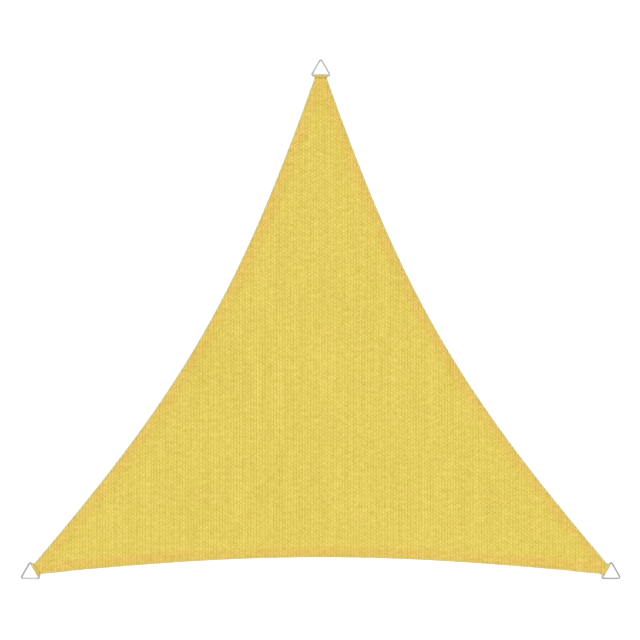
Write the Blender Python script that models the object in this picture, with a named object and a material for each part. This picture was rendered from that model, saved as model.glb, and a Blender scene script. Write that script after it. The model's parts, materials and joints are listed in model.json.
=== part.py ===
"""Shade sail, laid out flat: a triangle of yellow knitted cloth with hollow edges.

A folded hem runs along the three edges. At each corner a strap, folded round the bar of a
triangle ring of steel wire, is sewn under the cloth.

Metres, +Z up. +Y runs from the foot of the sail to its top corner, and the origin is on the
floor, under the middle of the whole part.
"""
import math

import bmesh
import bpy
from mathutils import Matrix, Vector

MM = 0.001

# The whole part
WIDTH = 2000 * MM  # across the outer ends of the two foot rings
GAP = 0.3 * MM  # between one piece and the next
CORNERS = {  # name: bearing from the middle of the triangle in degrees
    "top": 90,
    "left": 210,
    "right": 330,
}
CORNER_ANGLE = math.radians(60)  # of the sail and of each ring

# Ring: an equilateral triangle of round wire, measured on the wire's centre-line
WIRE = 5 * MM  # diameter
RING_SIDE = 65.5 * MM  # from sharp corner to sharp corner
RING_BEND = 4.5 * MM  # radius of each bend
BEND_STEPS = 8
WIRE_ROUNDNESS = 4  # Blender's bevel resolution: 12 sides round the wire

# Strap: lower leg on the floor, a turn round the ring's bar, upper leg down onto the lower one
STRAP_WIDTH = 42 * MM
STRAP_THICK = 1.5 * MM
STRAP_SLOPE = 11 * MM  # length in which the upper leg comes down
STRAP_TAIL = 74 * MM  # from the bar to the two sewn ends
TURN_STEPS = 12
SLOPE_STEPS = 8

# Cloth. Distances along a corner's axis are measured from the ring's bar towards the middle.
NECK = 11.5 * MM  # to the straight end of the cloth, which is as wide as the strap
SIDE_HOLLOW = 103 * MM  # depth of the curve of the left and right edges
FOOT_HOLLOW = 54 * MM  # depth of the curve of the foot edge
EDGE_STEPS = 32
CLOTH_THICK = 1.5 * MM
HEM_THICK = 2.6 * MM
HEM_WIDTH = 40 * MM
HEM_MITRE = 67.5 * MM  # to where the inner lines of two hems meet
MITRE_END = 6 * MM  # width of the blunt end where they meet
HEM_STEP = 2 * MM  # width of the slope from the hem down to the single cloth
TAIL_CLEARANCE = 2 * MM  # the cloth stays raised this far past the strap's ends
RAMP = 36 * MM  # length in which the raised corner comes down to the floor
RAMP_STEPS = 4
RIB_PITCH = 9.5 * MM  # from crest to crest of the knit's ribs, which run along Y
RIB_DEPTH = 0.5 * MM  # from crest to valley
SNAP = 0.02 * MM  # a vertex this near a cut line counts as on it

# Worked out from these
BAR_HEIGHT = STRAP_THICK + GAP + WIRE / 2
RING_HEIGHT = RING_SIDE * math.sin(CORNER_ANGLE)  # bar to the sharp tip
RING_REACH = RING_HEIGHT - RING_BEND  # bar to the end of the tip bend
RING_TILT = math.asin((BAR_HEIGHT - WIRE / 2) / RING_REACH)  # brings the tip down to the floor
BEND_OUTSIDE = RING_BEND + WIRE / 2
BAR_RADIUS = (  # from the middle of the triangle to each ring's bar
    (WIDTH / 2 - BEND_OUTSIDE) / math.cos(CORNER_ANGLE / 2) - (RING_REACH - RING_BEND)
)
TOP_END = BAR_RADIUS + RING_REACH + WIRE / 2
FOOT_END = (BAR_RADIUS + RING_REACH - RING_BEND) * math.sin(CORNER_ANGLE / 2) + BEND_OUTSIDE
MIDDLE = Vector((0, (FOOT_END - TOP_END) / 2, 0))  # the triangle's middle, seen from the origin
LIFT = 2 * STRAP_THICK + 2 * GAP  # height of the cloth's underside over a strap
RAMP_START = STRAP_TAIL + TAIL_CLEARANCE
HOLLOWS = (SIDE_HOLLOW, FOOT_HOLLOW, SIDE_HOLLOW)  # from the top corner, anticlockwise
HEM_CHORD_INSET = (  # how far the hem's inner chords lie inside the outline's chords
    (HEM_MITRE - NECK) * math.cos(CORNER_ANGLE)
    + (STRAP_WIDTH - MITRE_END) / 2 * math.sin(CORNER_ANGLE)
)


def clear_scene():
    """Remove the objects that the scene starts with."""
    for obj in list(bpy.data.objects):
        bpy.data.objects.remove(obj, do_unlink=True)


def make_material(name, color, roughness, metallic=0.0):
    """A plain Principled material."""
    material = bpy.data.materials.new(name)
    material.use_nodes = True
    shader = material.node_tree.nodes["Principled BSDF"]
    shader.inputs["Base Color"].default_value = (*color, 1.0)
    shader.inputs["Roughness"].default_value = roughness
    shader.inputs["Metallic"].default_value = metallic
    material.diffuse_color = (*color, 1.0)
    return material


def add_object(name, data, material):
    """Put a mesh or curve into the scene under its node's name."""
    obj = bpy.data.objects.new(name, data)
    bpy.context.scene.collection.objects.link(obj)
    if not data.materials:
        data.materials.append(material)
    return obj


def corner_frame(bearing):
    """Frame of a corner: origin on the floor under the ring's bar, +Y outwards."""
    turn = Matrix.Rotation(math.radians(bearing - 90), 4, "Z")
    return Matrix.Translation(MIDDLE) @ turn @ Matrix.Translation((0, BAR_RADIUS, 0))


def corner_frames():
    """The frames of the three corners, anticlockwise from the top."""
    return [corner_frame(bearing) for bearing in CORNERS.values()]


def ease(share):
    """0 to 1, with a level start and a level end."""
    return (1 - math.cos(math.pi * share)) / 2


# ---------------------------------------------------------------- cloth


def hollow_edge(start, end, hollow):
    """Points from start to end on an edge that curves in towards the triangle's middle."""
    inwards = Vector((0, 0, 1)).cross(end - start).normalized()
    shares = [step / EDGE_STEPS for step in range(EDGE_STEPS + 1)]
    return [start.lerp(end, s) + inwards * hollow * math.sin(math.pi * s) for s in shares]


def hollow_triangle(distance, end_width, hollows):
    """Anticlockwise outline with three hollow edges between three blunt corners.

    Each blunt end stands the given distance inside its ring's bar.
    """
    frames = corner_frames()
    leaving = [frame @ Vector((-end_width / 2, -distance, 0)) for frame in frames]
    arriving = [frame @ Vector((end_width / 2, -distance, 0)) for frame in frames]
    points = []
    for index, hollow in enumerate(hollows):
        points += hollow_edge(leaving[index], arriving[(index + 1) % 3], hollow)
    return points


def add_ring_of_edges(bm, points, height):
    """A closed ring of vertices and edges at one height."""
    verts = [bm.verts.new((p.x, p.y, height)) for p in points]
    return [bm.edges.new((v, verts[(i + 1) % len(verts)])) for i, v in enumerate(verts)]


def lift_at(point):
    """Height of the cloth's underside: raised over each strap, on the floor elsewhere."""
    lift = 0.0
    for frame in corner_frames():
        inside = -(frame.inverted() @ point).y
        lift += LIFT * (1 - ease(min(max((inside - RAMP_START) / RAMP, 0), 1)))
    return lift


def rib_at(point):
    """Height of the upper face over its mean: a crest at X = 0, a valley half a pitch away."""
    phase = abs(point.x) / RIB_PITCH % 1
    return RIB_DEPTH * (abs(2 * phase - 1) - 0.5)


def cut_sheet(bm, point, direction):
    """Cut the sheet along the upright plane through a point, square to a direction."""
    geom = bm.verts[:] + bm.edges[:] + bm.faces[:]
    bmesh.ops.bisect_plane(bm, geom=geom, dist=SNAP, plane_co=point, plane_no=direction)


def cut_ramp_lines(bm):
    """Cut across each corner, where the raised cloth bends down to the floor."""
    for frame in corner_frames():
        outwards = frame.to_3x3() @ Vector((0, 1, 0))
        for step in range(RAMP_STEPS + 1):
            inside = RAMP_START + RAMP * step / RAMP_STEPS
            cut_sheet(bm, frame @ Vector((0, -inside, 0)), outwards)


def cut_rib_lines(bm):
    """Cut along every crest and valley of the knit."""
    reach = max(vert.co.x for vert in bm.verts)
    half = RIB_PITCH / 2
    last = int(reach / half)
    for line in range(-last, last + 1):
        cut_sheet(bm, Vector((line * half, 0, 0)), Vector((1, 0, 0)))


def add_upper_face(bm, outline):
    """A thick hem band round the thinner single cloth."""
    hem_hollows = [hollow + HEM_WIDTH - HEM_CHORD_INSET for hollow in HOLLOWS]
    hem_line = hollow_triangle(HEM_MITRE, MITRE_END, hem_hollows)
    outer = add_ring_of_edges(bm, outline, HEM_THICK)
    inner = add_ring_of_edges(bm, hem_line, HEM_THICK)
    bmesh.ops.bridge_loops(bm, edges=outer + inner)
    field = bmesh.ops.contextual_create(bm, geom=inner)["faces"]
    bmesh.ops.inset_region(bm, faces=field, thickness=HEM_STEP, use_even_offset=True)
    for vert in field[0].verts:
        vert.co.z = CLOTH_THICK


def build_cloth(material):
    """The sail: ribbed cloth inside a thicker hem, raised over the straps at its corners."""
    outline = hollow_triangle(NECK, STRAP_WIDTH, HOLLOWS)
    bm = bmesh.new()
    add_upper_face(bm, outline)
    bmesh.ops.contextual_create(bm, geom=add_ring_of_edges(bm, outline, 0))
    cut_ramp_lines(bm)
    cut_rib_lines(bm)
    for vert in bm.verts:
        rib = rib_at(vert.co) if vert.co.z > 0 else 0
        vert.co.z += lift_at(vert.co) + rib
    rim = [edge for edge in bm.edges if edge.is_boundary]
    bmesh.ops.bridge_loops(bm, edges=rim)
    bmesh.ops.recalc_face_normals(bm, faces=bm.faces[:])

    mesh = bpy.data.meshes.new("sail_cloth")
    bm.to_mesh(mesh)
    bm.free()
    return add_object("sail_cloth", mesh, material)


# ---------------------------------------------------------------- straps


def strap_path():
    """Middle of the strap's thickness as (distance inside the bar, height) pairs."""
    low = STRAP_THICK / 2
    turn = WIRE / 2 + GAP + STRAP_THICK / 2
    over = low + STRAP_THICK + GAP
    path = [(STRAP_TAIL, low)]
    for step in range(TURN_STEPS + 1):
        angle = math.pi * step / TURN_STEPS
        path.append((-turn * math.sin(angle), BAR_HEIGHT - turn * math.cos(angle)))
    crown = BAR_HEIGHT + turn
    for step in range(1, SLOPE_STEPS + 1):
        share = step / SLOPE_STEPS
        path.append((STRAP_SLOPE * share, crown + (over - crown) * ease(share)))
    path.append((STRAP_TAIL, over))
    return path


def build_strap_mesh():
    """A strip that follows the strap's path, without its thickness."""
    bm = bmesh.new()
    side = [bm.verts.new((-STRAP_WIDTH / 2, -inside, z)) for inside, z in strap_path()]
    edges = [bm.edges.new(pair) for pair in zip(side, side[1:])]
    extruded = bmesh.ops.extrude_edge_only(bm, edges=edges)["geom"]
    verts = [item for item in extruded if isinstance(item, bmesh.types.BMVert)]
    bmesh.ops.translate(bm, verts=verts, vec=(STRAP_WIDTH, 0, 0))
    bmesh.ops.recalc_face_normals(bm, faces=bm.faces[:])
    mesh = bpy.data.meshes.new("strap")
    bm.to_mesh(mesh)
    bm.free()
    return mesh


def add_strap(name, mesh, corner, material):
    """One strap, given its thickness on both sides of its path."""
    strap = add_object(name, mesh, material)
    strap.parent = corner
    thickness = strap.modifiers.new("thickness", "SOLIDIFY")
    thickness.thickness = STRAP_THICK
    thickness.offset = 0
    thickness.use_even_offset = True
    return strap


# ---------------------------------------------------------------- rings


def ring_points():
    """Centre-line of the ring, flat, with its bar along X and its tip towards +Y."""
    sharp = (  # x, y, direction from the ring's middle in degrees
        (RING_SIDE / 2, 0, -30),
        (0, RING_HEIGHT, 90),
        (-RING_SIDE / 2, 0, 210),
    )
    points = []
    for x, y, direction in sharp:
        out = math.radians(direction)
        centre_x = x - 2 * RING_BEND * math.cos(out)
        centre_y = y - 2 * RING_BEND * math.sin(out)
        for step in range(BEND_STEPS + 1):
            angle = out + CORNER_ANGLE * (2 * step / BEND_STEPS - 1)
            x_at = centre_x + RING_BEND * math.cos(angle)
            y_at = centre_y + RING_BEND * math.sin(angle)
            points.append((x_at, y_at, 0, 1))
    return points


def build_ring_curve():
    """The bent wire as a closed curve with a round section."""
    curve = bpy.data.curves.new("ring", "CURVE")
    curve.dimensions = "3D"
    curve.bevel_depth = WIRE / 2
    curve.bevel_resolution = WIRE_ROUNDNESS
    curve.render_resolution_u = 0
    curve.use_fill_caps = True
    points = ring_points()
    spline = curve.splines.new("POLY")
    spline.points.add(len(points) - 1)
    for place, point in zip(spline.points, points):
        place.co = point
    spline.use_cyclic_u = True
    spline.use_smooth = True
    return curve


def add_ring(name, curve, corner, material):
    """One ring, lying with its bar in the strap and its tip on the floor."""
    ring = add_object(name, curve, material)
    ring.parent = corner
    ring.location = (0, 0, BAR_HEIGHT)
    ring.rotation_euler = (-RING_TILT, 0, 0)
    return ring


# ---------------------------------------------------------------- whole part


def add_corner(name, bearing):
    """An empty under the middle of a ring's bar, which carries the strap and the ring."""
    corner = bpy.data.objects.new(f"corner_{name}", None)
    bpy.context.scene.collection.objects.link(corner)
    corner.empty_display_size = RING_SIDE
    corner.matrix_world = corner_frame(bearing)
    return corner


def main():
    clear_scene()
    cloth = make_material("knitted_cloth", (0.775, 0.608, 0.119), 0.85)
    webbing = make_material("strap_webbing", (0.770, 0.590, 0.120), 0.8)
    steel = make_material("ring_steel", (0.56, 0.56, 0.55), 0.28, metallic=1.0)

    build_cloth(cloth)
    strap_mesh = build_strap_mesh()
    ring_curve = build_ring_curve()
    for name, bearing in CORNERS.items():
        corner = add_corner(name, bearing)
        add_strap(f"strap_{name}", strap_mesh, corner, webbing)
        add_ring(f"ring_{name}", ring_curve, corner, steel)


main()
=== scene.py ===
"""Looks of a shade sail that lies flat: yellow knitted cloth with a sewn hem and hollow edges,
a strap sewn under each corner, and a triangle ring of steel wire in each strap.

Metres, +Z up. +Y runs from the foot of the sail to its top corner, the floor is at z = 0, and
the ribs of the knit run along Y with a crest at x = 0.
"""
import json
import math

import bmesh
import bpy
import numpy as np
from bpy.props import FloatProperty, FloatVectorProperty, PointerProperty
from mathutils import Matrix, Vector

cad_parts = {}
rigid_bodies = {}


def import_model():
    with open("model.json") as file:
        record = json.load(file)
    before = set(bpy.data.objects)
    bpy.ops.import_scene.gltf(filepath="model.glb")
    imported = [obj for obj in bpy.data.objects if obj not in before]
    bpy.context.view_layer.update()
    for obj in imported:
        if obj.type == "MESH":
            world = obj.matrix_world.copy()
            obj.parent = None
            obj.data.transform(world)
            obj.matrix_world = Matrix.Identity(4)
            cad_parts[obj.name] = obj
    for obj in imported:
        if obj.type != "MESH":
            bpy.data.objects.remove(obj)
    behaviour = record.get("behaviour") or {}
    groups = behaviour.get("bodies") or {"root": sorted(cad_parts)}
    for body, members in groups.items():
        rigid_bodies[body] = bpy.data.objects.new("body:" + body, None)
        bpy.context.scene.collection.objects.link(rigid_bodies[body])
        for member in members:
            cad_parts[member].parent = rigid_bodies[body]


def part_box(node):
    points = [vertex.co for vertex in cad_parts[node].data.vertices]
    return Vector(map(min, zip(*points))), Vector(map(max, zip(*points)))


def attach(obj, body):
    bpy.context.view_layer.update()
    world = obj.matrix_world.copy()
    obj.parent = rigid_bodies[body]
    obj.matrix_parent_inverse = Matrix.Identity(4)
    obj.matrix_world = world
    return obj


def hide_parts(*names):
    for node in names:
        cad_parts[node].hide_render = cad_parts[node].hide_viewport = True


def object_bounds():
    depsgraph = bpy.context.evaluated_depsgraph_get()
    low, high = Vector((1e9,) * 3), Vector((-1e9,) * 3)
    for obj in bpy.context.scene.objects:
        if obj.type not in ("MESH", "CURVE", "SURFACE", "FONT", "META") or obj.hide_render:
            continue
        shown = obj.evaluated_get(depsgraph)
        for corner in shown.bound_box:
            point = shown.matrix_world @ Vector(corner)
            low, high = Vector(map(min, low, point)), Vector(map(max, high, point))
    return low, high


bl_info = {
    "name": "Shade Sail",
    "version": (1, 0, 0),
    "blender": (4, 5, 0),
    "location": "3D View > Sidebar > Shade Sail",
    "description": "Knit, hem, seams, straps and steel rings of a triangular shade sail",
    "category": "Object",
}

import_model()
CAD_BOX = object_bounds()

MM = 0.001

# Made sizes
GAP = 0.3 * MM  # between one piece and the next
WIRE = 5 * MM
RING_SIDE = 65.5 * MM  # on the wire's centre-line, from sharp corner to sharp corner
RING_BEND = 4.5 * MM  # radius of each bend
STRAP_THICK = 1.5 * MM
STRAP_SLOPE = 11 * MM  # length in which the strap's upper leg comes down from the bar
SIDE_HOLLOW = 103 * MM
FOOT_HOLLOW = 54 * MM
CLOTH_THICK = 1.5 * MM
HEM_THICK = 2.6 * MM
HEM_WIDTH = 40 * MM
HEM_STEP = 3 * MM  # width of the slope from the hem down to the single cloth
TAIL_CLEARANCE = 2 * MM  # the cloth stays raised this far past the strap's ends
RAMP = 36 * MM  # length in which a raised corner comes down to the floor

# Places, partly read from the parts in model.glb
BEARINGS = {"top": 90, "left": 210, "right": 330}  # of the corners, from the triangle's middle
CORNER_TURN = math.radians(30)  # half of the angle at each corner
CLOTH_LOW, CLOTH_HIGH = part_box("sail_cloth")
STRAP_LOW, STRAP_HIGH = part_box("strap_top")
STRAP_WIDTH = STRAP_HIGH.x - STRAP_LOW.x
TURN_OUTSIDE = WIRE / 2 + GAP + STRAP_THICK
BAR_Y = STRAP_HIGH.y - TURN_OUTSIDE  # of the top ring's bar
BAR_HEIGHT = STRAP_THICK + GAP + WIRE / 2
STRAP_TAIL = BAR_Y - STRAP_LOW.y  # from a bar to the strap's sewn ends
NECK = BAR_Y - CLOTH_HIGH.y  # from a bar to the straight end of the cloth
BAR_RADIUS = NECK + (
    (CLOTH_HIGH.x - STRAP_WIDTH / 2 * math.sin(CORNER_TURN)) / math.cos(CORNER_TURN)
)
MIDDLE = np.array((0, BAR_Y - BAR_RADIUS))
LIFT = 2 * STRAP_THICK + 2 * GAP  # height of the cloth's underside over a strap
RAMP_START = STRAP_TAIL + TAIL_CLEARANCE

# Fine relief of the cloth
SWELL = 0.9 * MM  # most height of its slight unevenness
SWELL_MARGIN = 250 * MM  # the unevenness grows over this distance from the edge
PUCKER = 0.5 * MM  # height of the waves between the hem's two seams
PUCKER_LENGTH = 31 * MM
SEAM_DIP = 0.35 * MM  # depth of the furrow that a seam draws in the cloth
SEAM_SPREAD = 1.8 * MM
BACK_FURROW = 0.7 * MM  # depth of the furrow on the back at the hem's inner edge

# Stitches of the knit
LEG_OFFSET = 0.185  # from the middle of a rib to a leg, as a share of the pitch
LEG_REACH = 1.1  # length of a leg, as a share of the course
LEG_LEAN = 12  # degrees
LEG_RISE = 1.2
LAP_REACH = 1.35  # length of a lap, as a share of the pitch
LAP_SLANT = 62  # degrees off the ribs' direction
STITCH_MARGIN = 1.5 * MM  # no stitch has its middle nearer to the fold than this
STITCH_LIFT = 0.12 * MM
DRAW_FROM = 9 * MM  # stitches nearer than this to the fold are drawn together
DRAW_TO = 0.5 * MM
YARN_PRESSED = 0.75  # how much of the yarn's thickness a seam takes away

# Sewing thread, and the rectangle sewn through each corner and its strap
THREAD_LIFT = 0.42 * MM  # the thread on the face lies over the knit's stitches
THREAD_FLATNESS = 0.75  # thickness of the drawn-in thread against its width
BOX_START = NECK + 12 * MM  # from the bar to the rectangle
BOX_STOP = STRAP_TAIL - 6 * MM  # from the bar to the rectangle's far side
BOX_HALF = 13 * MM  # half of its width

# Path and relief of a strap
TURN_RADIUS = WIRE / 2 + GAP + STRAP_THICK / 2  # of the middle of the strap round the bar
CROWN = BAR_HEIGHT + TURN_RADIUS  # highest point of that middle
UPPER_LEG = STRAP_THICK * 1.5 + GAP  # height of the upper leg's middle over the floor
STRAP_ROUNDING = 0.45 * MM
STRAP_RELIEF = 0.3 * MM  # depth of the valleys between the ribs
STRAP_FURROW = 0.6 * MM  # depth of the furrow that the thread lies in
STRAP_SEAM_SPREAD = 1.5 * MM
STRAP_MARGIN = 2 * MM  # no stitch has its middle nearer to a strap's edge than this
TURN_SHOWN = 9 * MM  # length of the strap's outer face round the bar that carries stitches
YARN_MARGIN = 1 * MM  # the stitches' yarn stays this far inside the strap's long edges
YARN_SPAN = (-TURN_SHOWN - 3 * MM, NECK - 0.5 * MM)  # and in this span inside the bar

# Ring
RING_HEIGHT = RING_SIDE * math.sin(2 * CORNER_TURN)  # from the bar to the sharp tip
RING_TILT = math.asin((BAR_HEIGHT - WIRE / 2) / (RING_HEIGHT - RING_BEND))

# Where the colour of the cloth changes, from its edge inwards: painted shade and a greyer painted
# sheen along the fold's crease, then the hem's own warmer colour
EDGE_SHADE = (3 * MM, 10.5 * MM)
HEM_TINT = (HEM_WIDTH - 16 * MM, HEM_WIDTH + 4 * MM)

# Where valleys and pores darken with painted shade, in the waves of the knit
VALLEY_SHADE = (0.6, -1.0)  # from a rib's slope down to the valley
PORE_TINT = (1.25, 1.65)  # from a pore's rim to its middle

# How much lighter and darker each noise makes the cloth
COLUMN_SWING = 0.09  # from rib to rib
TUFT_SWING = 0.12  # from stitch to stitch
ROW_SWING = 0.08  # from course to course
PATCH_SWING = 0.03  # over the whole sail
FIBRE_SWING = 0.09  # along the yarn
GROUND_SWING = 0.10  # between the stitches
WARM_SHARE = 0.16  # how much of the hem's colour the field's warm patches take
YARN_SHEEN = 0.08

# Stage
FLOOR_RADIUS = 30
FLOOR_GAP = 0.1 * MM
AIM = (-2.0 * MM, -3.3 * MM)  # from the middle of the part's box to the middle of the picture
KEY_DIRECTION = (-0.3, 0.4, 1)
KEY_ANGLE = 35  # degrees that the soft key light covers

# Steps in the meshes
EDGE_STEPS = 48
RAMP_STEPS = 8
ROW_STEP = 60 * MM  # between the lines that cross the ribs
STRAP_COLUMNS = 40
LEG_ROWS = 60
TAIL_ROWS = 40
SLOPE_ROWS = 14
TURN_ROWS = 32
BEND_STEPS = 14
SNAP = 0.02 * MM  # a vertex this near a cut line counts as on it


# ---- settings


def length_setting(name, description, default):
    """A length that a user may change."""
    return FloatProperty(
        name=name, description=description, default=default, min=0, unit="LENGTH", precision=5
    )


def share_setting(name, description, default):
    """A share from 0 to 1 that a user may change."""
    return FloatProperty(
        name=name, description=description, default=default, min=0, max=1, subtype="FACTOR"
    )


def colour_setting(name, description, default):
    """A colour that a user may change."""
    return FloatVectorProperty(
        name=name, description=description, default=default, min=0, max=1, subtype="COLOR"
    )


class KnitSettings(bpy.types.PropertyGroup):
    """Sizes and colours of the knitted cloth."""

    rib_pitch: length_setting("Rib pitch", "From one rib to the next", 9.5 * MM)
    rib_depth: length_setting("Rib depth", "From crest to valley on the face", 0.5 * MM)
    back_depth: length_setting("Back depth", "From crest to valley on the back", 0.25 * MM)
    course: length_setting("Course", "From one stitch to the next along a rib", 12.2 * MM)
    yarn_width: length_setting("Yarn width", "Width of one leg of a stitch", 3.5 * MM)
    yarn_thick: length_setting("Yarn thickness", "Thickness of one leg of a stitch", 0.88 * MM)
    lap_width: length_setting("Lap width", "Width of a lap on the back", 2.4 * MM)
    lap_thick: length_setting("Lap thickness", "Thickness of a lap on the back", 0.85 * MM)
    field: colour_setting("Field", "Single cloth", (0.656, 0.517, 0.0935))
    hem: colour_setting("Hem", "Folded cloth", (0.670, 0.469, 0.0945))
    # The edge colour is painted shade, greyer as a painted sheen, along the fold's crease and round
    # the straps' turns and long edges.
    edge: colour_setting("Edge", "Crease of the fold", (0.550, 0.455, 0.175))
    # Pore shade and valley shade are painted shade in the knit's hollows.
    pore: share_setting("Pore shade", "How dark the pores between the ribs are", 0.12)
    valley: share_setting("Valley shade", "How dark the valleys are", 0.17)
    roughness: share_setting("Roughness", "Of the yarn", 0.62)


class SeamSettings(bpy.types.PropertyGroup):
    """Sizes and colour of the sewing thread."""

    thread: length_setting("Thread", "Thickness of the thread", 1.1 * MM)
    stitch: length_setting("Stitch", "Length of a stitch", 6.4 * MM)
    pause: length_setting("Pause", "From one stitch to the next", 1.3 * MM)
    outer_row: length_setting("Outer row", "From the fold to the first row", 7 * MM)
    inner_row: length_setting("Inner row", "From the fold to the second row", 35 * MM)
    colour: colour_setting("Thread colour", "Colour of the thread", (0.640, 0.480, 0.090))


class RingSettings(bpy.types.PropertyGroup):
    """Finish of the steel rings."""

    colour: colour_setting("Steel", "Colour of the wire", (0.38, 0.38, 0.375))
    roughness: share_setting("Roughness", "Of the wire", 0.42)


class StageSettings(bpy.types.PropertyGroup):
    """Floor, light and camera."""

    floor: colour_setting("Floor", "Colour of the floor", (0.95, 0.95, 0.95))
    sky: FloatProperty(name="Sky", description="Strength of the even light", default=0.9, min=0)
    key: FloatProperty(name="Key", description="Strength of the soft key light", default=1.7, min=0)
    view_width: length_setting("View width", "Width of the floor in the frame", 2.1348)
    lens: FloatProperty(name="Lens", description="Focal length", default=100, unit="CAMERA")


# ---- outline of the cloth


def ease(share):
    """0 to 1, with a level start and a level end."""
    return (1 - np.cos(np.pi * np.clip(share, 0, 1))) / 2


def corner_axes(bearing):
    """The point under a ring's bar, the direction outwards and the direction sideways."""
    angle = math.radians(bearing)
    outwards = np.array((math.cos(angle), math.sin(angle)))
    sideways = np.array((outwards[1], -outwards[0]))
    return MIDDLE + outwards * BAR_RADIUS, outwards, sideways


def from_corner(points, bearing):
    """Of each point: distance inside a ring's bar, and distance sideways from its middle."""
    bar, outwards, sideways = corner_axes(bearing)
    return (bar - points) @ outwards, (points - bar) @ sideways


def corner_matrix(bearing):
    """Frame of a corner: origin on the floor under the ring's bar, +Y outwards."""
    bar, _, _ = corner_axes(bearing)
    turn = Matrix.Rotation(math.radians(bearing - 90), 4, "Z")
    return Matrix.Translation((bar[0], bar[1], 0)) @ turn


class Side:
    """One side of the cloth's outline: a straight chord with a sine arch hollowed into it."""

    def __init__(self, start, end, hollow):
        self.start = start
        self.length = np.linalg.norm(end - start)
        self.along = (end - start) / self.length
        self.inwards = np.array((-self.along[1], self.along[0]))
        self.hollow = hollow

    def point(self, share, depth):
        """The point at a share of the chord's length, a depth inside the side."""
        slope = self.hollow * math.pi / self.length * math.cos(math.pi * share)
        normal = (self.inwards - self.along * slope) / math.hypot(1, slope)
        arch = self.inwards * self.hollow * math.sin(math.pi * share)
        return self.start + self.along * self.length * share + arch + normal * depth

    def survey(self, points):
        """Of each point: depth inside the side, distance along it, and the side's normal."""
        along = (points - self.start) @ self.along
        share = (along / self.length).clip(0, 1)
        slope = self.hollow * np.pi / self.length * np.cos(np.pi * share)
        steepness = np.hypot(1, slope)
        arch = self.hollow * np.sin(np.pi * share)
        depth = ((points - self.start) @ self.inwards - arch) / steepness
        normal = (self.inwards - slope[:, None] * self.along) / steepness[:, None]
        return depth, along, normal


def outline_sides():
    """The three long sides, anticlockwise from the top, and the three straight ends."""
    corners = []
    for bearing in BEARINGS.values():
        bar, outwards, sideways = corner_axes(bearing)
        end = bar - outwards * NECK
        corners.append((end + sideways * STRAP_WIDTH / 2, end - sideways * STRAP_WIDTH / 2))
    hollows = (SIDE_HOLLOW, FOOT_HOLLOW, SIDE_HOLLOW)
    long_sides = [
        Side(corners[index][1], corners[(index + 1) % 3][0], hollow)
        for index, hollow in enumerate(hollows)
    ]
    return long_sides, [Side(arriving, leaving, 0) for arriving, leaving in corners]


LONG_SIDES, ENDS = outline_sides()


def survey(points):
    """Of each point: depth inside the outline, distance along the nearest side, its normal."""
    surveys = [side.survey(points) for side in LONG_SIDES + ENDS]
    depth, along, normal = [np.array(values) for values in zip(*surveys)]
    nearest = (depth.argmin(axis=0), np.arange(len(points)))
    return depth[nearest], along[nearest], normal[nearest]


def trimmed_share(side, depth, limit):
    """The share nearest to one end of a side at which no other side is nearer than the depth."""
    inner, outer = 0.5, float(limit)
    for _ in range(30):
        middle = (inner + outer) / 2
        if survey(side.point(middle, depth)[None])[0][0] > depth - SNAP * 2:
            inner = middle
        else:
            outer = middle
    return inner


def outline_at(depth):
    """Closed line of points that all lie one depth inside the cloth's outline."""
    points = []
    for side in LONG_SIDES:
        first = trimmed_share(side, depth, 0)
        last = trimmed_share(side, depth, 1)
        for share in np.linspace(first, last, EDGE_STEPS + 1):
            points.append(side.point(share, depth))
    return points


# ---- heights of the cloth


def lift_at(points):
    """Height of the cloth over its corners' straps: raised there, on the floor elsewhere."""
    lift = np.zeros(len(points))
    for bearing in BEARINGS.values():
        inside, _ = from_corner(points, bearing)
        lift += LIFT * (1 - ease((inside - RAMP_START) / RAMP))
    return lift


def swell_at(points, depth):
    """The cloth's slight unevenness, from nothing up to SWELL."""
    x, y = points.T
    waves = np.sin(x * 9.1 + 1.3 * np.sin(y * 5.3)) * np.sin(y * 7.7 + 1.1 * np.sin(x * 4.1) + 2)
    return SWELL * (1 + waves) / 2 * ease(depth / SWELL_MARGIN)


def pucker_at(depth, along, seams):
    """Small waves that the two seams draw up in the hem between them."""
    share = (depth - seams.outer_row) / (seams.inner_row - seams.outer_row)
    waves = np.sin(along / PUCKER_LENGTH * 2 * np.pi + 1.7 * np.sin(along * 13))
    return PUCKER * (1 + waves) / 2 * np.sin(np.pi * share.clip(0, 1)) ** 2


def roundness(depth):
    """0 on the outline to 1 where the fold's rounding ends."""
    short = np.clip(1 - depth / (HEM_THICK / 2), 0, 1)
    return np.sqrt(1 - short**2)


def rib_at(points, pitch):
    """1 on the crest of a rib, -1 in the valley between two."""
    phase = np.abs(points[:, 0]) / pitch % 1
    return 2 * np.abs(2 * phase - 1) - 1


def furrow_at(distance, spread):
    """1 in the middle of a furrow, 0 away from it."""
    return np.exp(-((distance / spread) ** 2))


def box_distance(points, bearing):
    """Distance of each point from the line of the rectangle in a corner."""
    inside, across = from_corner(points, bearing)
    along = np.abs(inside - (BOX_START + BOX_STOP) / 2) - (BOX_STOP - BOX_START) / 2
    across = np.abs(across) - BOX_HALF
    outside = np.hypot(along.clip(0), across.clip(0))
    return np.where((along < 0) & (across < 0), -np.maximum(along, across), outside)


def seam_press(points, depth, seams):
    """How far a seam presses the cloth together: 1 under the thread, 0 away from it."""
    distances = [np.abs(depth - row) for row in (seams.outer_row, seams.inner_row)]
    distances += [box_distance(points, bearing) for bearing in BEARINGS.values()]
    return furrow_at(np.min(distances, axis=0), SEAM_SPREAD)


def face_heights(points, knit, seams):
    """Height of the cloth's upper face."""
    depth, along, _ = survey(points)
    rounded = roundness(depth)
    step = ease((depth - HEM_WIDTH + HEM_STEP / 2) / HEM_STEP)
    height = HEM_THICK / 2 * (1 + rounded) - (HEM_THICK - CLOTH_THICK) * step
    height -= SEAM_DIP * seam_press(points, depth, seams)
    height += knit.rib_depth / 2 * rib_at(points, knit.rib_pitch) * rounded
    return height + lift_at(points) + swell_at(points, depth) + pucker_at(depth, along, seams)


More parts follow.
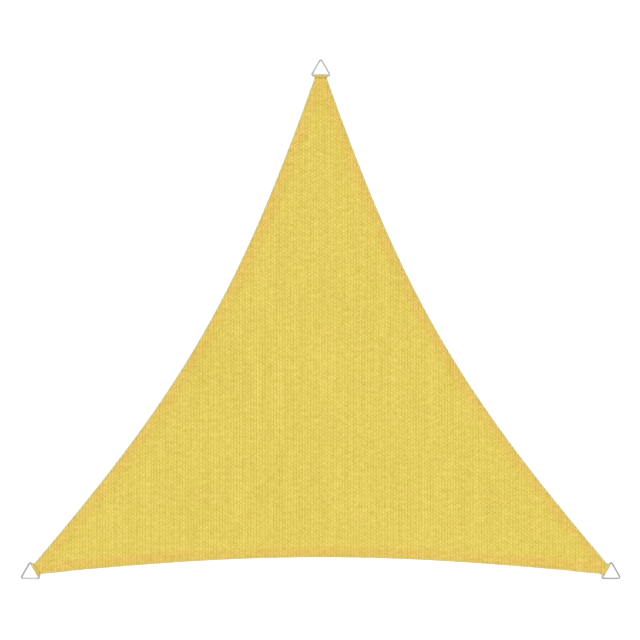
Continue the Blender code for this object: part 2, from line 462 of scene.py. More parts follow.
def back_heights(points, knit, seams):
    """Height of the cloth's underside, which leaves room for the laps under it."""
    depth, along, _ = survey(points)
    rounded = roundness(depth)
    room = (knit.lap_thick + knit.back_depth) / 2
    height = HEM_THICK / 2 - (HEM_THICK / 2 - room) * rounded
    height += BACK_FURROW * furrow_at(depth - HEM_WIDTH, SEAM_SPREAD)
    height -= knit.back_depth / 2 * rib_at(points, knit.rib_pitch) * rounded
    return height + lift_at(points) + swell_at(points, depth) + pucker_at(depth, along, seams)


# ---- mesh helpers


def mesh_from(bm, name):
    """A mesh made from a bmesh, which is freed."""
    mesh = bpy.data.meshes.new(name)
    bm.to_mesh(mesh)
    bm.free()
    return mesh


def add_object(name, data):
    """A new object in the scene."""
    obj = bpy.data.objects.new(name, data)
    bpy.context.scene.collection.objects.link(obj)
    return obj


def finished_mesh(obj, name):
    """The mesh of an object with its modifiers applied. The object is removed."""
    evaluated = obj.evaluated_get(bpy.context.evaluated_depsgraph_get())
    mesh = bpy.data.meshes.new_from_object(evaluated)
    mesh.name = name
    bpy.data.objects.remove(obj, do_unlink=True)
    return mesh


def new_object(name, mesh, material):
    """A smooth-shaded piece that rides with the sail."""
    mesh.shade_smooth()
    mesh.materials.clear()
    mesh.materials.append(material)
    obj = add_object(name, mesh)
    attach(obj, "root")
    return obj


def mesh_points(mesh):
    """The mesh's vertices as an array of (x, y, z)."""
    co = np.empty(len(mesh.vertices) * 3, np.float32)
    mesh.vertices.foreach_get("co", co)
    return co.reshape(-1, 3).astype(float)


def set_mesh_points(mesh, co):
    """Move the mesh's vertices."""
    mesh.vertices.foreach_set("co", co.astype(np.float32).ravel())
    mesh.update()


def paint_depth(mesh, depth):
    """Keep how far each vertex lies inside its cloth's edge, in metres, for the materials: the
    hem's colour and the painted shade along the edge.
    """
    attribute = mesh.attributes.new("depth", "FLOAT", "POINT")
    attribute.data.foreach_set("value", depth.astype(np.float32))


def paint_hem_depth(mesh):
    """Keep how far each vertex lies inside the nearest of the three long sides."""
    co = mesh_points(mesh)[:, :2]
    paint_depth(mesh, np.min([side.survey(co)[0] for side in LONG_SIDES], axis=0))


def paint_strap_depth(mesh, bearing):
    """Keep how far each vertex lies inside a strap's outer end and its two long edges."""
    # The materials paint shade along this outer end and these long edges, from this depth.
    inside, across = from_corner(mesh_points(mesh)[:, :2], bearing)
    paint_depth(mesh, np.minimum(inside + TURN_OUTSIDE, STRAP_WIDTH / 2 - np.abs(across)))


def add_line(bm, points):
    """A closed line of vertices and edges on the floor, its vertices numbered in order."""
    number = bm.verts.layers.int.new("number")
    verts = [bm.verts.new((x, y, 0)) for x, y in points]
    for index, vert in enumerate(verts):
        vert[number] = index
    return [bm.edges.new((v, verts[(i + 1) % len(verts)])) for i, v in enumerate(verts)]


def extrude(bm, line):
    """Extrude a line in place. Gives its new vertices and the edges between them."""
    made = bmesh.ops.extrude_edge_only(bm, edges=line)["geom"]
    verts = [item for item in made if isinstance(item, bmesh.types.BMVert)]
    fresh = set(verts)
    edges = dict.fromkeys(edge for vert in verts for edge in vert.link_edges)
    return verts, [edge for edge in edges if fresh.issuperset(edge.verts)]


def with_borders(faces):
    """The faces with their edges and vertices."""
    edges = dict.fromkeys(edge for face in faces for edge in face.edges)
    verts = dict.fromkeys(vert for face in faces for vert in face.verts)
    return faces + list(edges) + list(verts)


def cut_apart(bm, faces, direction, places):
    """Cut faces by upright planes square to a direction, the middle plane first.

    The places are the planes' distances from the origin, from low to high.
    """
    if not faces or not len(places):
        return
    middle = len(places) // 2
    place = places[middle]
    cut = bmesh.ops.bisect_plane(
        bm,
        geom=with_borders(faces),
        dist=SNAP,
        plane_co=direction * place,
        plane_no=direction,
    )
    below, above = [], []
    for item in cut["geom"]:
        if isinstance(item, bmesh.types.BMFace):
            near_side = item.calc_center_bounds().dot(direction) < place
            (below if near_side else above).append(item)
    cut_apart(bm, below, direction, places[:middle])
    cut_apart(bm, above, direction, places[middle + 1 :])


# ---- cloth


def add_sheet_side(bm, rim, depths, height):
    """One face of the cloth: bands between lines at the given depths, then the field."""
    number = bm.verts.layers.int["number"]
    line = rim
    for depth in depths:
        points = outline_at(depth)
        verts, line = extrude(bm, line)
        for vert in verts:
            vert.co = (*points[vert[number]], height)
    bmesh.ops.contextual_create(bm, geom=line)


def cut_ribs_and_rows(bm, half_pitch):
    """Cut along every crest and valley of the knit, and across the ribs at even steps."""
    last = int(CLOTH_HIGH.x / half_pitch)
    lines = half_pitch * np.arange(-last, last + 1)
    cut_apart(bm, bm.faces[:], Vector((1, 0, 0)), lines)
    rows = np.arange(CLOTH_LOW.y + ROW_STEP, CLOTH_HIGH.y, ROW_STEP)
    cut_apart(bm, bm.faces[:], Vector((0, 1, 0)), rows)


def cut_ramps(bm):
    """Cut across each corner, where the raised cloth bends down to the floor."""
    steps = RAMP_START + RAMP * np.arange(RAMP_STEPS + 1) / RAMP_STEPS
    for bearing in BEARINGS.values():
        bar, outwards, _ = corner_axes(bearing)
        direction = Vector((*outwards, 0))
        lines = bar @ outwards - steps[::-1]
        first = lines[0] - RAMP
        near = [face for face in bm.faces if face.calc_center_bounds().dot(direction) > first]
        cut_apart(bm, near, direction, lines)


def build_sheet_mesh(knit, seams):
    """The cloth as one closed sheet, ribbed on both faces, its hem folded and thicker."""
    fold = [HEM_THICK / 2 * share for share in (0.08, 0.3, 0.65, 1)]
    rows = []
    for row in (seams.outer_row, seams.inner_row):
        rows += [row - SEAM_SPREAD, row, row + SEAM_SPREAD]
    step = [HEM_WIDTH + HEM_STEP * share for share in (-0.5, -0.17, 0.17, 0.5)]
    furrow = [HEM_WIDTH + SEAM_SPREAD * share for share in (-2, -1, 0, 1, 2)]
    half_hem = (seams.outer_row + seams.inner_row) / 2

    bm = bmesh.new()
    rim = add_line(bm, outline_at(0))
    add_sheet_side(bm, rim, sorted(fold + rows + step + [half_hem]), 1)
    add_sheet_side(bm, rim, sorted(fold + furrow + [half_hem]), -1)
    cut_ribs_and_rows(bm, knit.rib_pitch / 2)
    cut_ramps(bm)
    bmesh.ops.remove_doubles(bm, verts=bm.verts[:], dist=SNAP)
    bmesh.ops.recalc_face_normals(bm, faces=bm.faces[:])
    bmesh.ops.triangulate(bm, faces=[face for face in bm.faces if len(face.verts) > 4])
    bm.verts.layers.int.remove(bm.verts.layers.int["number"])
    mesh = mesh_from(bm, "sail_sheet")

    co = mesh_points(mesh)
    face = face_heights(co[:, :2], knit, seams)
    back = back_heights(co[:, :2], knit, seams)
    co[:, 2] = np.where(co[:, 2] >= 0, face, back)
    set_mesh_points(mesh, co)
    return mesh


# ---- copies laid on the cloth


def spindle_mesh(parts, sides=4, rings=3):
    """Pointed spindles along Y: for each (length, width, thickness, matrix) one body."""
    bm = bmesh.new()
    upright = Matrix.Rotation(math.radians(90), 4, "X") @ Matrix.Rotation(math.pi / 4, 4, "Z")
    for length, width, thickness, matrix in parts:
        shape = Matrix.Diagonal((width / 2, length / 2, thickness / 2, 1))
        bmesh.ops.create_uvsphere(
            bm, u_segments=sides, v_segments=rings, radius=1, matrix=matrix @ shape @ upright
        )
    bmesh.ops.recalc_face_normals(bm, faces=bm.faces[:])
    return mesh_from(bm, "spindle")


def copies_group(template):
    """Geometry nodes that set the template on every vertex, turned by the vertex's turn."""
    group = bpy.data.node_groups.new("copies", "GeometryNodeTree")
    for way in ("INPUT", "OUTPUT"):
        group.interface.new_socket("Geometry", in_out=way, socket_type="NodeSocketGeometry")
    add, link = group.nodes.new, group.links.new
    places, result = add("NodeGroupInput"), add("NodeGroupOutput")
    shape = add("GeometryNodeObjectInfo")
    shape.inputs["Object"].default_value = template
    turn = add("GeometryNodeInputNamedAttribute")
    turn.data_type = "FLOAT_VECTOR"
    turn.inputs["Name"].default_value = "turn"
    rotation = add("FunctionNodeEulerToRotation")
    copies = add("GeometryNodeInstanceOnPoints")
    realized = add("GeometryNodeRealizeInstances")
    link(places.outputs[0], copies.inputs["Points"])
    link(shape.outputs["Geometry"], copies.inputs["Instance"])
    link(turn.outputs["Attribute"], rotation.inputs["Euler"])
    link(rotation.outputs["Rotation"], copies.inputs["Rotation"])
    link(copies.outputs["Instances"], realized.inputs["Geometry"])
    link(realized.outputs["Geometry"], result.inputs[0])
    return group


def copies_mesh(name, shape, places, turns=0):
    """One mesh with a copy of the shape at each (x, y), turned about +Z."""
    template = add_object("template", shape)
    points = bpy.data.meshes.new("places")
    points.vertices.add(len(places))
    flat = np.column_stack((places, np.zeros(len(places))))
    points.vertices.foreach_set("co", flat.astype(np.float32).ravel())
    spin = np.zeros((len(places), 3), np.float32)
    spin[:, 2] = turns
    points.attributes.new("turn", "FLOAT_VECTOR", "POINT").data.foreach_set("vector", spin.ravel())
    carrier = add_object("places", points)
    carrier.modifiers.new("copies", "NODES").node_group = copies_group(template)
    mesh = finished_mesh(carrier, name)
    mesh.attributes.remove(mesh.attributes["turn"])
    bpy.data.objects.remove(template, do_unlink=True)
    return mesh


def draw_in(points):
    """Points near or past the outline, drawn in so that they all lie inside it."""
    depth, _, normal = survey(points)
    room = DRAW_FROM - DRAW_TO
    drawn = DRAW_TO + room * np.exp((np.minimum(depth, DRAW_FROM) - DRAW_FROM) / room)
    shift = np.where(depth < DRAW_FROM, drawn - depth, 0)
    return points + normal * shift[:, None]


def lay_on(mesh, heights, knit, seams, offset, pressed=0.0):
    """Lay a mesh that was made flat on one face of the cloth, pressed flatter under the seams."""
    co = mesh_points(mesh)
    co[:, :2] = draw_in(co[:, :2])
    depth, _, _ = survey(co[:, :2])
    co[:, 2] *= 1 - pressed * seam_press(co[:, :2], depth, seams)
    co[:, 2] += heights(co[:, :2], knit, seams) + offset
    set_mesh_points(mesh, co)


def stitch_grid(knit, low, high):
    """Middle of every stitch between two corners: half a course off from one rib to the next."""
    pitch, course = knit.rib_pitch, knit.course
    ribs = range(math.floor(low[0] / pitch), math.ceil(high[0] / pitch) + 1)
    rows = range(math.floor(low[1] / course) - 1, math.ceil(high[1] / course) + 2)
    return np.array([(rib * pitch, (row + rib % 2 / 2) * course) for rib in ribs for row in rows])


def stitch_places(knit):
    """Middle of every stitch of the cloth."""
    places = stitch_grid(knit, CLOTH_LOW, CLOTH_HIGH)
    depth, _, _ = survey(places)
    return places[depth > STITCH_MARGIN]


def stitch_shape(knit):
    """A stitch: two legs that lean together at its foot and rise there over the stitch below."""
    rise = Matrix.Rotation(math.radians(-LEG_RISE), 4, "X")
    parts = []
    for side in (-1, 1):
        place = Matrix.Translation((side * knit.rib_pitch * LEG_OFFSET, 0, 0))
        lean = Matrix.Rotation(side * math.radians(-LEG_LEAN), 4, "Z")
        length = knit.course * LEG_REACH
        parts.append((length, knit.yarn_width, knit.yarn_thick, place @ lean @ rise))
    return spindle_mesh(parts)


def lap_shape(knit, side):
    """A lap on the back: one yarn that slants from a rib to the next."""
    slant = Matrix.Rotation(side * math.radians(LAP_SLANT), 4, "Z")
    place = Matrix.Translation((knit.rib_pitch / 2, 0, 0))
    length = knit.rib_pitch * LAP_REACH
    return spindle_mesh([(length, knit.lap_width, knit.lap_thick, place @ slant)])


# ---- seams


def stitches_along(line, seams):
    """Middle and turn of each stitch along a line of points."""
    steps = np.diff(line, axis=0)
    lengths = np.linalg.norm(steps, axis=1)
    reached = np.concatenate(((0,), np.cumsum(lengths)))
    count = max(int(reached[-1] / (seams.stitch + seams.pause)), 1)
    middles = (np.arange(count) + 0.5) * reached[-1] / count
    places = np.column_stack([np.interp(middles, reached, line[:, axis]) for axis in (0, 1)])
    part = np.clip(np.searchsorted(reached, middles) - 1, 0, len(steps) - 1)
    turns = np.arctan2(-steps[part, 0], steps[part, 1])
    return places, turns


def row_places(seams, depth):
    """Middle and turn of each stitch of a row that runs round the cloth at a depth."""
    line = np.array(outline_at(depth))
    return stitches_along(np.vstack((line, line[:1])), seams)


def box_places(seams, bearing):
    """Middle and turn of each stitch of the rectangle sewn through a corner and its strap."""
    bar, outwards, sideways = corner_axes(bearing)
    start, stop = bar - outwards * BOX_START, bar - outwards * BOX_STOP
    half = sideways * BOX_HALF
    corners = (start - half, start + half, stop + half, stop - half)
    sides = [np.array((corners[index - 1], corners[index])) for index in range(4)]
    return joined([stitches_along(side, seams) for side in sides])


def joined(rows):
    """Places and turns of several rows of stitches as one."""
    return np.vstack([places for places, _ in rows]), np.concatenate([turns for _, turns in rows])


def thread_shape(seams):
    """One stitch of the sewing thread."""
    flat = (seams.stitch, seams.thread, seams.thread * THREAD_FLATNESS, Matrix())
    return spindle_mesh([flat], sides=6, rings=5)


# ---- straps


def strap_line():
    """Middle of the strap's thickness as (distance inside the bar, height) pairs."""
    turn = np.linspace(0, np.pi, TURN_ROWS + 1)
    slope = np.linspace(0, 1, SLOPE_ROWS + 1)[1:]
    inside = (
        np.linspace(STRAP_TAIL, 0, LEG_ROWS + 1)[:-1],
        -TURN_RADIUS * np.sin(turn),
        STRAP_SLOPE * slope,
        np.linspace(STRAP_SLOPE, STRAP_TAIL, TAIL_ROWS + 1)[1:],
    )
    height = (
        np.full(LEG_ROWS, STRAP_THICK / 2),
        BAR_HEIGHT - TURN_RADIUS * np.cos(turn),
        CROWN + (UPPER_LEG - CROWN) * ease(slope),
        np.full(TAIL_ROWS, UPPER_LEG),
    )
    return list(zip(np.concatenate(inside), np.concatenate(height)))


def strap_strip():
    """The strap's middle surface, made by drawing its line across the strap's width."""
    bm = bmesh.new()
    line = [bm.verts.new((-STRAP_WIDTH / 2, -inside, z)) for inside, z in strap_line()]
    edges = [bm.edges.new(pair) for pair in zip(line, line[1:])]
    for _ in range(STRAP_COLUMNS):
        verts, edges = extrude(bm, edges)
        bmesh.ops.translate(bm, verts=verts, vec=(STRAP_WIDTH / STRAP_COLUMNS, 0, 0))
    bmesh.ops.recalc_face_normals(bm, faces=bm.faces[:])
    return mesh_from(bm, "strip")


def build_strap_mesh(name, bearing, knit):
    """A strap in its place: thick, with rounded edges, and ribbed like the cloth."""
    strip = add_object("strip", strap_strip())
    thickness = strip.modifiers.new("thickness", "SOLIDIFY")
    thickness.thickness = STRAP_THICK
    thickness.offset = 0
    thickness.use_even_offset = True
    rounding = strip.modifiers.new("rounding", "BEVEL")
    rounding.width = STRAP_ROUNDING
    rounding.segments = 3
    rounding.limit_method = "ANGLE"
    rounding.angle_limit = math.radians(50)
    mesh = finished_mesh(strip, name)
    mesh.transform(corner_matrix(bearing))

    normals = np.empty(len(mesh.vertices) * 3, np.float32)
    mesh.vertex_normals.foreach_get("vector", normals)
    co = mesh_points(mesh)
    inwards = (1 - rib_at(co[:, :2], knit.rib_pitch)) / 2 * STRAP_RELIEF
    furrow = furrow_at(box_distance(co[:, :2], bearing), STRAP_SEAM_SPREAD)
    inwards = np.maximum(inwards, furrow * STRAP_FURROW)
    set_mesh_points(mesh, co - normals.reshape(-1, 3) * inwards[:, None])
    paint_strap_depth(mesh, bearing)
    return mesh


def strap_stitch_places(knit, bearing):
    """Middle of each stitch on the part of a strap that shows, laid out flat."""
    bar, _, _ = corner_axes(bearing)
    places = stitch_grid(knit, bar - STRAP_WIDTH, bar + STRAP_WIDTH)
    inside, across = from_corner(places, bearing)
    shown = (inside > -TURN_SHOWN) & (inside < NECK - STRAP_MARGIN)
    return places[shown & (np.abs(across) < STRAP_WIDTH / 2 - STRAP_MARGIN)]


def wrap_on_strap(mesh, bearing):
    """Wrap a mesh that was made flat round the outer face of a strap."""
    bar, outwards, sideways = corner_axes(bearing)
    co = mesh_points(mesh)
    inside, across = from_corner(co[:, :2], bearing)
    across = across.clip(YARN_MARGIN - STRAP_WIDTH / 2, STRAP_WIDTH / 2 - YARN_MARGIN)
    inside = inside.clip(*YARN_SPAN)
    angle = np.maximum(-inside / TURN_OUTSIDE, 0)
    share = np.maximum(inside, 0) / STRAP_SLOPE
    fall = (CROWN - UPPER_LEG) * np.pi / 2 / STRAP_SLOPE * np.sin(np.pi * share.clip(0, 1))
    lean = np.where(inside > 0, -np.arctan(fall), angle)
    surface = BAR_HEIGHT + TURN_OUTSIDE * np.cos(angle) - (CROWN - UPPER_LEG) * ease(share)
    out = TURN_OUTSIDE * np.sin(angle) - np.maximum(inside, 0) + co[:, 2] * np.sin(lean)
    co[:, 2] = surface + co[:, 2] * np.cos(lean)
    co[:, :2] = bar + across[:, None] * sideways + out[:, None] * outwards
    set_mesh_points(mesh, co)
    paint_strap_depth(mesh, bearing)


# ---- rings


def ring_points():
    """Centre-line of the ring, flat, with its bar along X and its tip towards +Y."""
    reach = RING_HEIGHT * 2 / 3 - 2 * RING_BEND  # from the ring's middle to a bend's
    points = []
    for direction in (-30, 90, 210):
        out = math.radians(direction)
        for step in range(BEND_STEPS + 1):
            angle = out + 2 * CORNER_TURN * (2 * step / BEND_STEPS - 1)
            x = reach * math.cos(out) + RING_BEND * math.cos(angle)
            y = reach * math.sin(out) + RING_BEND * math.sin(angle) + RING_HEIGHT / 3
            points.append((x, y, 0, 1))
    return points


def build_ring_mesh(name, bearing):
    """A ring in its place: a bent wire with its bar in the strap and its tip on the floor."""
    curve = bpy.data.curves.new("ring", "CURVE")
    curve.dimensions = "3D"
    curve.bevel_depth = WIRE / 2
    curve.bevel_resolution = 10
    curve.render_resolution_u = 0
    points = ring_points()
    spline = curve.splines.new("POLY")
    spline.points.add(len(points) - 1)
    for place, point in zip(spline.points, points):
        place.co = point
    spline.use_cyclic_u = True
    spline.use_smooth = True
    mesh = finished_mesh(add_object("ring", curve), name)
    tilt = Matrix.Translation((0, 0, BAR_HEIGHT)) @ Matrix.Rotation(-RING_TILT, 4, "X")
    mesh.transform(corner_matrix(bearing) @ tilt)
    return mesh


# ---- materials


class Graph:
    """Adds shader nodes to a material and links them."""

    def __init__(self, name, roughness, metallic=0.0):
        self.material = bpy.data.materials.new(name)
        self.material.use_nodes = True
        self.tree = self.material.node_tree
        self.shader = self.tree.nodes["Principled BSDF"]
        self.shader.inputs["Roughness"].default_value = roughness
        self.shader.inputs["Metallic"].default_value = metallic
        coordinates = self.tree.nodes.new("ShaderNodeTexCoord")
        self.place = coordinates.outputs["Object"]
        axes = self.node("ShaderNodeSeparateXYZ", Vector=self.place)
        self.x, self.y, _ = axes.outputs

    def feed(self, socket, value):
        """Link a socket, or set it where the value is a plain number or colour."""
        if isinstance(value, bpy.types.NodeSocket):
            self.tree.links.new(value, socket)
        elif isinstance(value, (int, float)):
            socket.default_value = value
        else:
            socket.default_value = tuple(value) + (1.0,) * (len(socket.default_value) - len(value))

    def node(self, kind, **inputs):
        """A new node with some inputs fed by name."""
        made = self.tree.nodes.new(kind)
        for name, value in inputs.items():
            self.feed(made.inputs[name], value)
        return made

    def math(self, operation, first, second=0.0):
        """Output of a Math node."""
        made = self.tree.nodes.new("ShaderNodeMath")
        made.operation = operation
        self.feed(made.inputs[0], first)
        self.feed(made.inputs[1], second)
        return made.outputs[0]

    def times(self, first, second):
        """Product of two values."""
        return self.math("MULTIPLY", first, second)

    def ramp(self, value, low, high):
        """0 below low to 1 above high, with soft ends. High may be the smaller one."""
        made = self.node("ShaderNodeMapRange", Value=value)
        made.interpolation_type = "SMOOTHSTEP"
        ends = (min(low, high), max(low, high), int(low > high), int(low < high))
        for name, end in zip(("From Min", "From Max", "To Min", "To Max"), ends):
            made.inputs[name].default_value = end
        return made.outputs["Result"]

    def mix(self, share, first, second, blend="MIX"):
        """Output of a colour mix."""
        made = self.tree.nodes.new("ShaderNodeMix")
        made.data_type = "RGBA"
        made.blend_type = blend
        self.feed(made.inputs["Factor"], share)
        self.feed(made.inputs[6], first)
        self.feed(made.inputs[7], second)
        return made.outputs[2]

    def noise(self, scale, stretch=(1, 1, 1), detail=2.0):
        """Noise from about 0 to 1, with a scale in features to the metre."""
        mapping = self.node("ShaderNodeMapping", Vector=self.place, Scale=stretch)
        place = mapping.outputs[0]
        made = self.node("ShaderNodeTexNoise", Vector=place, Scale=scale, Detail=detail)
        return made.outputs["Fac"]

    def patches(self, scale, low, high):
        """Soft patches: 1 where a coarse noise is above high, 0 where it is below low."""
        return self.ramp(self.noise(scale, detail=1.0), low, high)

    def depth(self):
        """How far a point lies inside its cloth's edge."""
        made = self.tree.nodes.new("ShaderNodeAttribute")
        made.attribute_name = "depth"
        return made.outputs["Fac"]

    def light(self, colour, factor):
        """A colour times a factor. Its blue swings farther, as in dyed cloth."""
        blue = self.math("POWER", factor, 3.0)
        tint = self.node("ShaderNodeCombineXYZ", X=factor, Y=factor, Z=blue).outputs[0]
        return self.mix(1.0, colour, tint, "MULTIPLY")

    def shade(self, colour, amount):
        """A colour made darker by an amount from 0 to 1."""
        return self.light(colour, self.math("SUBTRACT", 1.0, amount))

    def vary(self, colour, noise, strength):
        """A colour made up to strength lighter and darker by a noise."""
        swing = self.times(self.math("SUBTRACT", noise, 0.5), 2 * strength)
        return self.light(colour, self.math("ADD", swing, 1.0))

    def bump(self, height, distance, strength):
        """Relief on the shader's normal, with the height from 0 to 1 and a distance in metres."""
        made = self.node("ShaderNodeBump", Height=height, Distance=distance, Strength=strength)
        self.tree.links.new(made.outputs[0], self.shader.inputs["Normal"])

    def finish(self, colour, sheen=0.0):
        """Give the shader its colour, and a faint sheen, as on smooth plastic yarn."""
        self.feed(self.shader.inputs["Base Color"], colour)
        if sheen:
            inputs = self.shader.inputs
            inputs["Sheen Weight"].default_value = sheen
            inputs["Sheen Roughness"].default_value = 0.4
            inputs["Specular IOR Level"].default_value = 0.35
        return self.material


def doubled(graph):
    """1 where the cloth lies double, in the hem and the straps, and 0 in the field."""
    return graph.ramp(graph.depth(), HEM_TINT[1], HEM_TINT[0])


def rib_wave(graph, knit):
    """1 on the crest of a rib, -1 in the valley between two."""
    return graph.math("COSINE", graph.times(graph.x, 2 * math.pi / knit.rib_pitch))


def pores(graph, knit):
    """How far into a pore a point lies, from 0 to 1."""
    rib = graph.math("CEIL", graph.math("DIVIDE", graph.x, knit.rib_pitch))
    along = graph.times(graph.y, 2 * math.pi / knit.course)
    staggered = graph.math("ADD", along, graph.times(rib, math.pi))
    hollow = graph.math("SUBTRACT", graph.math("COSINE", staggered), rib_wave(graph, knit))
    return graph.ramp(hollow, *PORE_TINT)


def cloth_colour(graph, knit):
    """Colour of the knitted cloth: the field, the warmer double hem, painted shade with a greyer
    painted sheen along the fold's crease, and painted shade in the valleys.
    """
    worn = graph.math("ADD", graph.times(graph.patches(17, 0.35, 0.6), 0.55), 0.6)
    colour = graph.mix(graph.times(doubled(graph), worn), tuple(knit.field), tuple(knit.hem))
    # Painted shade with a greyer painted sheen along the fold's crease, and round each strap's turn
    # and long edges.
    edge = graph.ramp(graph.depth(), EDGE_SHADE[1], EDGE_SHADE[0])
    colour = graph.mix(edge, colour, tuple(knit.edge))
    warm = graph.times(graph.patches(11, 0.42, 0.62), WARM_SHARE)
    colour = graph.mix(warm, colour, tuple(knit.hem))
    for noise, swing in (
        (graph.noise(0.8 / knit.rib_pitch, (1, 0.03, 0), 1.0), COLUMN_SWING),
        (graph.noise(1 / knit.rib_pitch, (1, 0.8, 0), 0.0), TUFT_SWING),
        (graph.noise(1.1 / knit.course, (0.3, 1, 0), 0.0), ROW_SWING),
        (graph.noise(3.5, detail=3.0), PATCH_SWING),
    ):
        colour = graph.vary(colour, noise, swing)
    # Painted shade in the valleys between the ribs.
    valley = graph.ramp(rib_wave(graph, knit), *VALLEY_SHADE)
    return graph.shade(colour, graph.times(valley, knit.valley))


def cloth_material(knit):
    """The cloth between the stitches: painted shade in the valleys and the pores, and fine yarn."""
    graph = Graph("sail_cloth", knit.roughness)
    pore = pores(graph, knit)
    yarn = graph.noise(260, (3.2, 0.35, 1), 3.0)
    colour = graph.vary(cloth_colour(graph, knit), yarn, GROUND_SWING)
    # Painted shade in the pores, standing for the shadow seen through the holes between the ribs;
    # less of it where the cloth lies double.
    openness = graph.math("ADD", graph.times(graph.patches(13, 0.38, 0.62), 0.45), 0.55)
    single = graph.math("SUBTRACT", 1.0, graph.times(doubled(graph), 0.5))
    pore_shade = graph.times(graph.times(pore, openness), single)
    colour = graph.shade(colour, graph.times(pore_shade, knit.pore))
    relief = graph.math("SUBTRACT", graph.times(yarn, 0.35), graph.times(pore, 0.5))
    graph.bump(relief, 0.5 * MM, 0.6)
    return graph.finish(colour, YARN_SHEEN)


def yarn_material(knit):
    """The raised stitches: plastic yarn with fine lengthwise fibres."""
    graph = Graph("sail_yarn", knit.roughness)
    fibres = graph.noise(420, (3.0, 0.25, 1), 3.0)
    colour = graph.vary(cloth_colour(graph, knit), fibres, FIBRE_SWING)
    graph.bump(fibres, 0.15 * MM, 0.5)
    return graph.finish(colour, YARN_SHEEN)


def thread_material(seams):
    """Sewing thread with its twist."""
    graph = Graph("sail_thread", 0.55)
    twist = graph.noise(1500, detail=1.0)
    graph.bump(twist, 0.1 * MM, 0.6)
    return graph.finish(graph.vary(tuple(seams.colour), twist, 0.12), YARN_SHEEN)


def steel_material(rings):
    """Satin steel wire with faint drawing marks."""
    graph = Graph("sail_steel", rings.roughness, metallic=1.0)
    blotches = graph.noise(60)
    swing = graph.times(graph.math("SUBTRACT", blotches, 0.5), 0.12)
    graph.feed(graph.shader.inputs["Roughness"], graph.math("ADD", swing, rings.roughness))
    graph.bump(graph.noise(700, detail=4.0), 0.04 * MM, 0.3)
    return graph.finish(graph.vary(tuple(rings.colour), blotches, 0.05))


def shared_material(name, make, settings):
    """The material of that name, made the first time it is asked for."""
    return bpy.data.materials.get(name) or make(settings)


# ---- operators


class SAIL_OT_cloth(bpy.types.Operator):
    """Build the knitted cloth with its folded hem"""

    bl_idname = "sail.cloth"
    bl_label = "Cloth"

    def execute(self, context):
        knit, seams = context.scene.sail_knit, context.scene.sail_seams
        mesh = build_sheet_mesh(knit, seams)
        paint_hem_depth(mesh)
        material = shared_material("sail_cloth", cloth_material, knit)
        sheet = new_object("sail_sheet", mesh, material)
        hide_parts("sail_cloth")
        return {"FINISHED"}


class SAIL_OT_knit(bpy.types.Operator):
    """Lay the stitches on the cloth's face and the laps on its back"""

    bl_idname = "sail.knit"
    bl_label = "Knit"

    def execute(self, context):
        knit, seams = context.scene.sail_knit, context.scene.sail_seams
        material = shared_material("sail_yarn", yarn_material, knit)
        places = stitch_places(knit)
        left = places[:, 0] < 0
        even = np.floor(places[:, 1] / knit.course) % 2 == 0
        stitch = stitch_shape(knit)
        for name, shape, chosen, heights, offset in (
            ("stitches_left", stitch, left, face_heights, STITCH_LIFT),
            ("stitches_right", stitch, ~left, face_heights, STITCH_LIFT),
            ("laps_rising", lap_shape(knit, 1), even, back_heights, 0),
            ("laps_falling", lap_shape(knit, -1), ~even, back_heights, 0),
        ):
            mesh = copies_mesh(name, shape, places[chosen])
            lay_on(mesh, heights, knit, seams, offset, YARN_PRESSED)
            paint_hem_depth(mesh)
            new_object(f"sail_{name}", mesh, material)
        return {"FINISHED"}


class SAIL_OT_seams(bpy.types.Operator):
    """Sew the hem and the corners, with the thread on both faces"""

    bl_idname = "sail.seams"
    bl_label = "Seams"

    def execute(self, context):
        knit, seams = context.scene.sail_knit, context.scene.sail_seams
        material = shared_material("sail_thread", thread_material, seams)
        rows = [row_places(seams, depth) for depth in (seams.outer_row, seams.inner_row)]
        boxes = [box_places(seams, bearing) for bearing in BEARINGS.values()]
        for name, chosen, heights, offset in (
            ("face", rows + boxes, face_heights, THREAD_LIFT),
            ("back", rows, back_heights, 0),
        ):
            mesh = copies_mesh(f"thread_{name}", thread_shape(seams), *joined(chosen))
            lay_on(mesh, heights, knit, seams, offset)
            new_object(f"sail_thread_{name}", mesh, material)
        mesh = copies_mesh("thread_straps", thread_shape(seams), *joined(boxes))
        mesh.transform(Matrix.Translation((0, 0, seams.thread * THREAD_FLATNESS / 2)))
        new_object("sail_thread_straps", mesh, material)
        return {"FINISHED"}


class SAIL_OT_straps(bpy.types.Operator):
    """Build the three straps, folded round the bars of the rings"""

    bl_idname = "sail.straps"
    bl_label = "Straps"

    def execute(self, context):
        knit = context.scene.sail_knit
        webbing = shared_material("sail_cloth", cloth_material, knit)
        yarn = shared_material("sail_yarn", yarn_material, knit)
        for name, bearing in BEARINGS.items():
            mesh = build_strap_mesh(f"webbing_{name}", bearing, knit)
            strap = new_object(f"sail_strap_{name}", mesh, webbing)
            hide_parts(f"strap_{name}")
            places = strap_stitch_places(knit, bearing)
            mesh = copies_mesh(f"strap_stitches_{name}", stitch_shape(knit), places)
            wrap_on_strap(mesh, bearing)
            stitches = new_object(f"sail_strap_stitches_{name}", mesh, yarn)
        return {"FINISHED"}


class SAIL_OT_rings(bpy.types.Operator):
    """Build the three steel rings"""

    bl_idname = "sail.rings"
    bl_label = "Rings"

    def execute(self, context):
        steel = shared_material("sail_steel", steel_material, context.scene.sail_rings)
        for name, bearing in BEARINGS.items():
            mesh = build_ring_mesh(f"wire_{name}", bearing)
            ring = new_object(f"sail_ring_{name}", mesh, steel)
            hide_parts(f"ring_{name}")
        return {"FINISHED"}


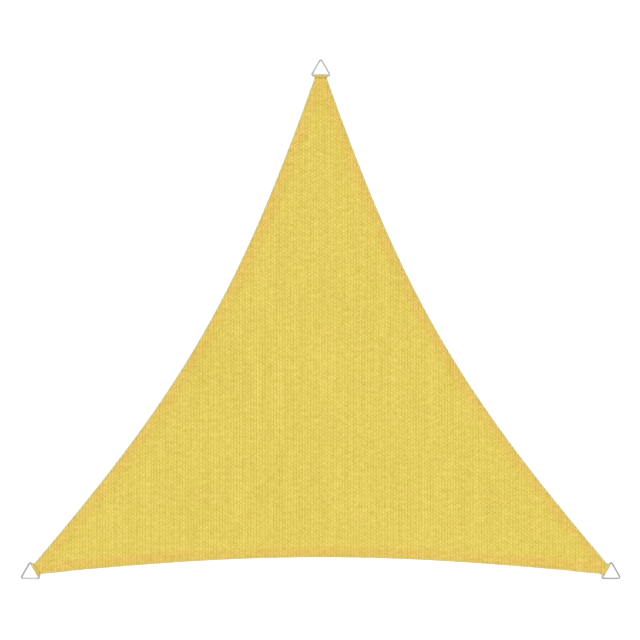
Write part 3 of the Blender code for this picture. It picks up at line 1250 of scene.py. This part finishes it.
class SAIL_OT_stage(bpy.types.Operator):
    """Set up the floor, the light and the camera"""

    bl_idname = "sail.stage"
    bl_label = "Stage"

    def execute(self, context):
        stage = context.scene.sail_stage
        self.add_floor(stage)
        self.add_light(context, stage)
        self.add_camera(context, stage)
        return {"FINISHED"}

    def add_floor(self, stage):
        """A wide plain floor."""
        bm = bmesh.new()
        bmesh.ops.create_circle(bm, cap_ends=True, segments=64, radius=FLOOR_RADIUS)
        bmesh.ops.translate(bm, verts=bm.verts[:], vec=(0, 0, -FLOOR_GAP))
        mesh = mesh_from(bm, "floor")
        graph = Graph("floor", 0.9)
        graph.shader.inputs["Specular IOR Level"].default_value = 0.1
        mesh.materials.append(graph.finish(tuple(stage.floor)))
        floor = add_object("floor", mesh)

    def add_light(self, context, stage):
        """An even white sky and one soft key light from the upper left."""
        world = bpy.data.worlds.new("sky")
        world.use_nodes = True
        sky = world.node_tree.nodes["Background"].inputs
        sky["Color"].default_value = (1, 1, 1, 1)
        sky["Strength"].default_value = stage.sky
        context.scene.world = world
        key = bpy.data.lights.new("key", "SUN")
        key.energy = stage.key
        key.angle = math.radians(KEY_ANGLE)
        light = add_object("key", key)
        light.rotation_euler = Vector(KEY_DIRECTION).to_track_quat("Z", "Y").to_euler()
        context.scene.view_settings.view_transform = "Standard"

    def add_camera(self, context, stage):
        """A camera straight above the sail, with +Y up in the picture."""
        data = bpy.data.cameras.new("camera")
        data.lens = stage.lens
        camera = add_object("camera", data)
        low, high = CAD_BOX
        distance = stage.view_width * data.lens / data.sensor_width
        camera.location = ((low.x + high.x) / 2 + AIM[0], (low.y + high.y) / 2 + AIM[1], distance)
        context.scene.camera = camera


class SAIL_PT_panel(bpy.types.Panel):
    """Buttons for each group of pieces, in the order in which they are made"""

    bl_label = "Shade Sail"
    bl_idname = "SAIL_PT_panel"
    bl_space_type = "VIEW_3D"
    bl_region_type = "UI"
    bl_category = "Shade Sail"

    def draw(self, context):
        for operator in OPERATORS:
            self.layout.operator(operator.bl_idname)


SETTINGS = {
    "sail_knit": KnitSettings,
    "sail_seams": SeamSettings,
    "sail_rings": RingSettings,
    "sail_stage": StageSettings,
}
OPERATORS = (
    SAIL_OT_cloth,
    SAIL_OT_knit,
    SAIL_OT_seams,
    SAIL_OT_rings,
    SAIL_OT_straps,
    SAIL_OT_stage,
)


def register():
    for name, group in SETTINGS.items():
        bpy.utils.register_class(group)
        setattr(bpy.types.Scene, name, PointerProperty(type=group))
    for item in OPERATORS + (SAIL_PT_panel,):
        bpy.utils.register_class(item)


def unregister():
    for item in (SAIL_PT_panel,) + OPERATORS[::-1]:
        bpy.utils.unregister_class(item)
    for name, group in SETTINGS.items():
        delattr(bpy.types.Scene, name)
        bpy.utils.unregister_class(group)


def main():
    for obj in list(bpy.data.objects):
        if obj.type in {"CAMERA", "LIGHT"}:
            bpy.data.objects.remove(obj, do_unlink=True)
    register()
    bpy.ops.sail.cloth()
    bpy.ops.sail.knit()
    bpy.ops.sail.seams()
    bpy.ops.sail.rings()
    bpy.ops.sail.straps()
    bpy.ops.sail.stage()


if __name__ == "__main__":
    main()
